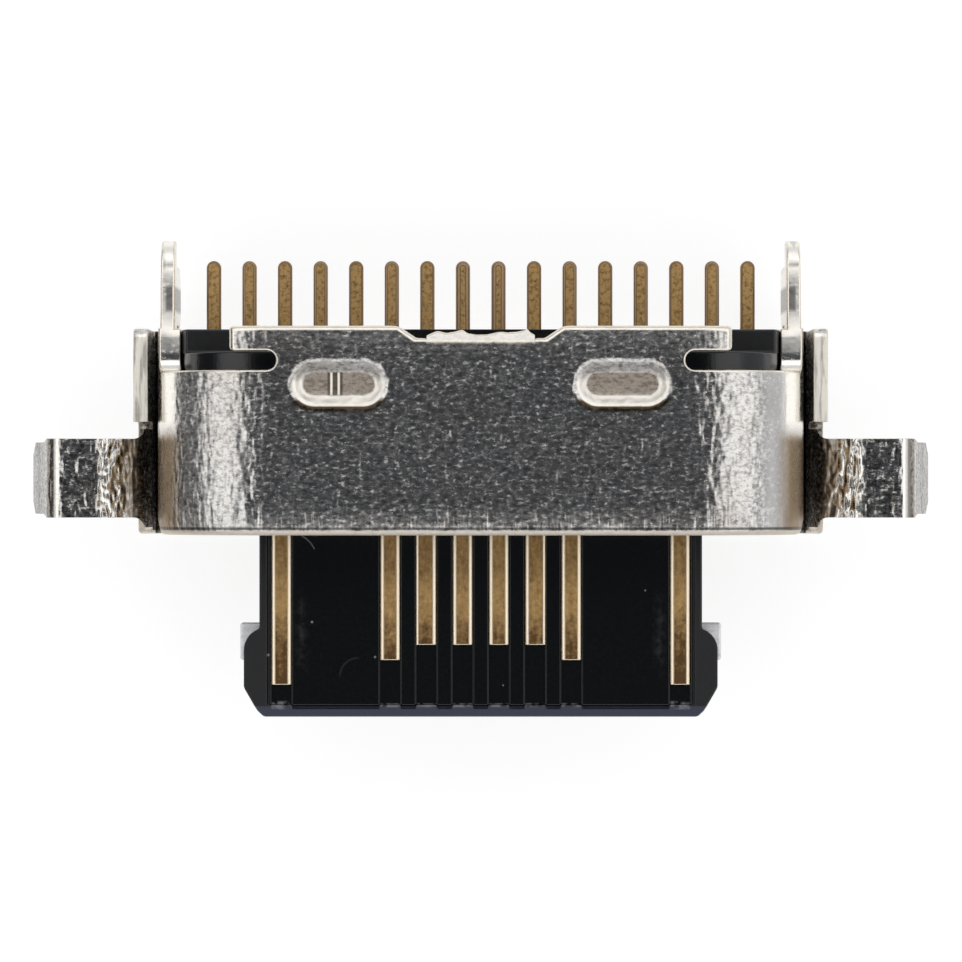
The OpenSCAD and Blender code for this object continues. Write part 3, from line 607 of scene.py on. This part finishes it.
def moulded_nylon(name, roughness, grain, grooves, patterns, places, dull):
    """Black glass-filled nylon: a dull gloss, a fine grain, faint grooves from the tool's polishing,
    torn places and dust, places that are duller, and a painted bluish reflection on the housing's nose
    bevel. The heights of the grain and the grooves are in metres."""
    material, tree = new_material(name)
    at = readings(tree, patterns)
    column = add(tree, "ShaderNodeMath", {0: at["side"], 1: CONTACT_PITCH}, operation="MODULO").outputs[0]
    column = add(tree, "ShaderNodeMath", {0: column, 1: CONTACT_PITCH / 2}, operation="SUBTRACT").outputs[0]
    at["column"] = add(tree, "ShaderNodeMath", {0: column}, operation="ABSOLUTE").outputs[0]
    masks = masks_of(tree, at, {**NYLON_PLACES, **places})
    torn = joined(tree, "MAXIMUM", (masks["torn_signals"], 1.0), (masks["torn_grounds"], 1.0))
    speck = joined(tree, "MAXIMUM", (torn, TORN_PALE), (dust_on_tongue(tree, at), DUST_PALE))
    duller = [(masks[place], strength) for place, strength in dull.items()]
    rough = joined(tree, "ADD", (masks["grain"], GRAIN_DEPTH), (torn, TORN_HAZE), *duller,
                   base=roughness + GRAIN_START)
    tint = linear(MOULDED_BLACK)
    for over, factor in ((NOSE_BLUE_REFLECTION, masks.get("nose_bevel", 0.0)), (SCUFFED_BLACK, speck)):
        mix = {"Factor": factor, "A": tint, "B": linear(over)}
        tint = add(tree, "ShaderNodeMix", mix, data_type="RGBA").outputs["Result"]
    first = add(tree, "ShaderNodeBump", {"Height": at["grain"], "Distance": grain, "Strength": 1.0})
    second = add(tree, "ShaderNodeBump", {"Height": at["grooves"], "Distance": grooves, "Strength": 1.0,
                                          "Normal": first.outputs[0]})
    plastic = add(tree, "ShaderNodeBsdfPrincipled", {"Base Color": tint, "Roughness": rough,
                                                     "Normal": second.outputs[0], "IOR": NYLON_IOR})
    add(tree, "ShaderNodeOutputMaterial", {"Surface": plastic.outputs[0]})
    return material


# The housing looks black and glossy, and duller on its head and its rear block.
housing_nylon = moulded_nylon("moulded_nylon_housing", roughness=0.2, grain=0.000002, grooves=0.000002,
                              patterns=NYLON_PATTERNS, places=HOUSING_PLACES, dull=HOUSING_DULL)
# The inserts look the same black, with clearer grooves and the places that a plug has rubbed.
insert_nylon = moulded_nylon("moulded_nylon_insert", roughness=0.22, grain=0.0000005, grooves=0.000003,
                             patterns=INSERT_PATTERNS, places=INSERT_PLACES, dull=INSERT_DULL)
housing = rolled_copy("housing", "housing_moulding", HOUSING_ROLL, segments=2)
fit(housing, "housing", housing_nylon, housing_nylon)
for node in ("upper_insert", "lower_insert"):
    insert = rolled_copy(node, node + "_moulding", INSERT_ROLL, segments=2)
    fit(insert, node, insert_nylon, insert_nylon)

# The middle plate and the two shield plates: bare stainless sheet, stamped. Only the plate's latch
# lugs show from above, at the sides of the tongue's head.

PLATE_ROLL = 0.04
SHIELD_ROLL = 0.02
PLATE_STEEL = "#ffffff"

# Bare rolled stainless looks pale and matt beside the plating.
plate_steel = plated_steel("bare_stainless_sheet", PLATE_STEEL, peel=0.00001, grain=0.000004,
                           roughness=0.8, stained=0.1, pitted=0.1, read=steel_readings, places={},
                           marks={})
plate = rolled_copy("middle_plate", "middle_plate_sheet", PLATE_ROLL)
fit(plate, "middle_plate", plate_steel, plate_steel)
for node in ("upper_shield", "lower_shield"):
    shield = rolled_copy(node, node + "_sheet", SHIELD_ROLL, segments=2)
    fit(shield, node, plate_steel, plate_steel)

# The contacts: copper alloy strip, stamped and gold-plated over nickel. The blows of the tool roll
# their edges, which are painted a lighter cream than the browner flat, as a painted highlight.

CONTACT_ROLLS = {"upper": 0.07, "lower": 0.03}
CONTACT_SHARE = 0.46
END_ROLL = 0.012
GOLD = "#e9bf80"
GOLD_STAIN = "#775a3a"
# A lighter cream copy of the gold, a painted highlight on the rolled edges:
PAINTED_HIGHLIGHT_GOLD = "#f7e6ca"
STREAK_BROWN = 0.45
CROSS_BROWN = 0.8
SPECKLE_BROWN = 1.2
TAIL_SPECKLE = 2.4
ROWS = {
    "upper": ("a1_ground", "a4_power", "a5_config", "a6_data_plus", "a7_data_minus", "a8_sideband",
              "a9_power", "a12_ground"),
    "lower": ("b12_ground", "b9_power", "b8_sideband", "b7_data_minus", "b6_data_plus", "b5_config",
              "b4_power", "b1_ground"),
}
# The streaks are 0.06 mm wide and 0.25 mm long, and the cross marks are 0.14 mm wide and 0.08 mm long.
# The speckle is drawn 0.055 mm wide, coarser than the plating's grain, so that it shows.
GOLD_PATTERNS = {
    "streaks": ((16.0, 4.0, 9.0), 3.0, 0.6),
    "cross_marks": ((7.0, 12.0, 9.0), 3.0, 0.7),
    "speckle": ((18.0, 18.0, 18.0), 2.0, 0.7),
}
GOLD_PLACES = {
    "streaks": (("streaks", -0.15, 0.2),),
    "cross_marks": (("cross_marks", -0.2, 0.22),),
    "tail": (("y", 1.6, 2.0),),
}
# Along a contact, from its end on the tongue to its tail: how brown it is, and how strong its cross
# marks are.
CONTACT_ENDS = (-3.0, 3.0)
WORN = [(0.02, 0.85), (0.11, 0.6), (0.16, 0.25), (0.19, 0.0), (0.25, 0.02), (0.29, 0.3), (0.38, 0.36),
        (0.8, 0.0)]
MARKED = [(0.02, 1.0), (0.17, 0.8), (0.2, 0.25), (0.7, 0.3), (0.85, 0.8)]


def plated_contact(name, colour, stained, roughness, relief, tail):
    """Gold over nickel on copper alloy: soft streaks along it and darker cross marks, as brown as the
    given share. It is rubbed brighter where a plug slides, and darkest towards the end. The relief of
    the streaks is in metres, and the tail has its own share of brown."""
    material, tree = new_material(name)
    at = readings(tree, GOLD_PATTERNS)
    masks = masks_of(tree, at, GOLD_PLACES)
    length = add(tree, "ShaderNodeMapRange", {"Value": at["y"], "From Min": CONTACT_ENDS[0],
                                              "From Max": CONTACT_ENDS[1]}).outputs[0]
    worn = add(tree, "ShaderNodeValToRGB", {"Fac": length}, stops=WORN).outputs[0]
    marked = add(tree, "ShaderNodeValToRGB", {"Fac": length}, stops=MARKED).outputs[0]
    crossed = joined(tree, "ADD", (masks["cross_marks"], marked))
    speckled = joined(tree, "ADD", (masks["tail"], TAIL_SPECKLE), base=SPECKLE_BROWN)
    brown = joined(tree, "ADD", (worn, 1.0), (masks["streaks"], STREAK_BROWN), (crossed, CROSS_BROWN),
                   (at["speckle"], speckled))
    stain = joined(tree, "ADD", (brown, stained), (masks["tail"], tail))
    mix = {"Factor": stain, "A": linear(colour), "B": linear(GOLD_STAIN)}
    tint = add(tree, "ShaderNodeMix", mix, data_type="RGBA", clamp_factor=True).outputs["Result"]
    bump = add(tree, "ShaderNodeBump", {"Height": at["streaks"], "Distance": relief, "Strength": 1.0})
    metal = add(tree, "ShaderNodeBsdfPrincipled", {"Base Color": tint, "Metallic": 1.0,
                                                   "Roughness": roughness, "Normal": bump.outputs[0]})
    add(tree, "ShaderNodeOutputMaterial", {"Surface": metal.outputs[0]})
    return material


def contact_end(node):
    """A contact's end is cut square, so only its long edges are rolled."""
    front = min(corner[1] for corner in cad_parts[node].bound_box) / MM
    return lambda place: END_ROLL if place.y < front + END_ROLL else NO_LIMIT


# The flat looks a warm, half matt brown gold, and less brown at the tail.
flat_gold = plated_contact("gold_on_copper_alloy_flat", GOLD, stained=0.8, roughness=0.46,
                           relief=0.000006, tail=-0.28)
# The rolled edges are painted cream, a painted highlight, and they are glossier, and brown at the
# tail. The lower row's are a little duller.
rolled_gold = {
    "upper": plated_contact("gold_on_copper_alloy_rolled_edge", PAINTED_HIGHLIGHT_GOLD, stained=0.0, roughness=0.38,
                            relief=0.000002, tail=0.85),
    "lower": plated_contact("gold_on_copper_alloy_dull_edge", PAINTED_HIGHLIGHT_GOLD, stained=0.0, roughness=0.4,
                            relief=0.000002, tail=0.9),
}
for row, nodes in ROWS.items():
    for node in nodes:
        contact = rolled_copy(node, node + "_strip", CONTACT_ROLLS[row], share=CONTACT_SHARE,
                              limit=contact_end(node))
        fit(contact, node, flat_gold, rolled_gold[row])

# The floor: a card below the socket, 22 mm wide. It keeps the socket's soft shadow. It glows white for
# the camera and for reflected and transmitted rays, and from below it is clear.

FLOOR_WHITE = "#ffffff"
FLOOR_GLOW = 0.8
CARD_GREY = "#959595"
CARD_HALF = 0.011
CARD_DROP = 0.000002

bm = bmesh.new()
bmesh.ops.create_grid(bm, x_segments=1, y_segments=1, size=CARD_HALF)
bmesh.ops.translate(bm, vec=(0, 0, -CARD_DROP), verts=bm.verts)
mesh = bpy.data.meshes.new("floor")
bm.to_mesh(mesh)
bm.free()
floor = bpy.data.objects.new("floor", mesh)
bpy.context.scene.collection.objects.link(floor)
card, tree = new_material("white_card")
path = add(tree, "ShaderNodeLightPath", {})
seen = path.outputs["Is Camera Ray"]
for ray in ("Is Glossy Ray", "Is Transmission Ray"):
    seen = add(tree, "ShaderNodeMath", {0: seen, 1: path.outputs[ray]}, operation="MAXIMUM").outputs[0]
glow = add(tree, "ShaderNodeMath", {0: seen, 1: FLOOR_GLOW}, operation="MULTIPLY")
diffuse = add(tree, "ShaderNodeBsdfDiffuse", {"Color": linear(CARD_GREY)})
emission = add(tree, "ShaderNodeEmission", {"Color": linear(FLOOR_WHITE), "Strength": glow.outputs[0]})
both = add(tree, "ShaderNodeAddShader", {0: diffuse.outputs[0], 1: emission.outputs[0]})
clear = add(tree, "ShaderNodeBsdfTransparent", {})
side = add(tree, "ShaderNodeNewGeometry", {})
shown = add(tree, "ShaderNodeMixShader", {0: side.outputs["Backfacing"], 1: both.outputs[0],
                                          2: clear.outputs[0]})
add(tree, "ShaderNodeOutputMaterial", {"Surface": shown.outputs[0]})
floor.data.materials.append(card)

# The light: a wide soft ring of studio panels round the camera, whose own dark front stands
# straight above the socket. The horizon is paler, bluish at the front and dark on the left.

ZENITH = (0.05, 0.055, 0.064, 1)
PANELS = (1.3, 1.3, 1.32, 1)
HORIZON = (0.66, 0.67, 0.7, 1)
FRONT = (0.6, 0.64, 0.72, 1)
# The light by height, from the horizon at 0 to straight above at 1.
SKY = [(0.0, HORIZON), (0.3, HORIZON), (0.42, PANELS), (0.84, PANELS), (0.91, ZENITH), (1.0, ZENITH)]
DARK_LEFT = 0.85
SKY_PLACES = {
    "dark_left": (("x", -0.4, -0.85), ("height", 0.4, 0.26)),
    "blue_front": (("y", -0.6, -0.9), ("height", 0.4, 0.26)),
}

world = bpy.data.worlds.new("studio")
bpy.context.scene.world = world
world.use_nodes = True
tree = world.node_tree
tree.nodes.clear()
place = add(tree, "ShaderNodeTexCoord", {})
x, y, height = add(tree, "ShaderNodeSeparateXYZ", {"Vector": place.outputs["Generated"]}).outputs
masks = masks_of(tree, {"x": x, "y": y, "height": height}, SKY_PLACES)
ring = add(tree, "ShaderNodeValToRGB", {"Fac": height}, stops=SKY)
mix = {"Factor": masks["blue_front"], "A": ring.outputs[0], "B": FRONT}
colour = add(tree, "ShaderNodeMix", mix, data_type="RGBA")
strength = joined(tree, "ADD", (masks["dark_left"], -DARK_LEFT), base=1.0)
sky = add(tree, "ShaderNodeBackground", {"Color": colour.outputs["Result"], "Strength": strength})
add(tree, "ShaderNodeOutputWorld", {"Surface": sky.outputs[0]})

# The camera: straight above, 75 mm over the middle of the mouth, with the tails at the top. Its lens
# gives 72150 pixels a metre at the middle of the mouth.

IMAGE = 962
SENSOR = 36
CAMERA_HEIGHT = 0.075
CAMERA_PLACE = (0.000004, -0.00004)
MIDDLE_Z = 0.00178
SCALE = 72150

camera = bpy.data.objects.new("camera", bpy.data.cameras.new("camera"))
bpy.context.scene.collection.objects.link(camera)
camera.location = (*CAMERA_PLACE, MIDDLE_Z + CAMERA_HEIGHT)
camera.data.sensor_width = SENSOR
camera.data.lens = SENSOR * CAMERA_HEIGHT * SCALE / IMAGE
camera.data.clip_start = 0.001
camera.data.clip_end = 5
bpy.context.scene.camera = camera
bpy.context.scene.view_settings.view_transform = "Standard"
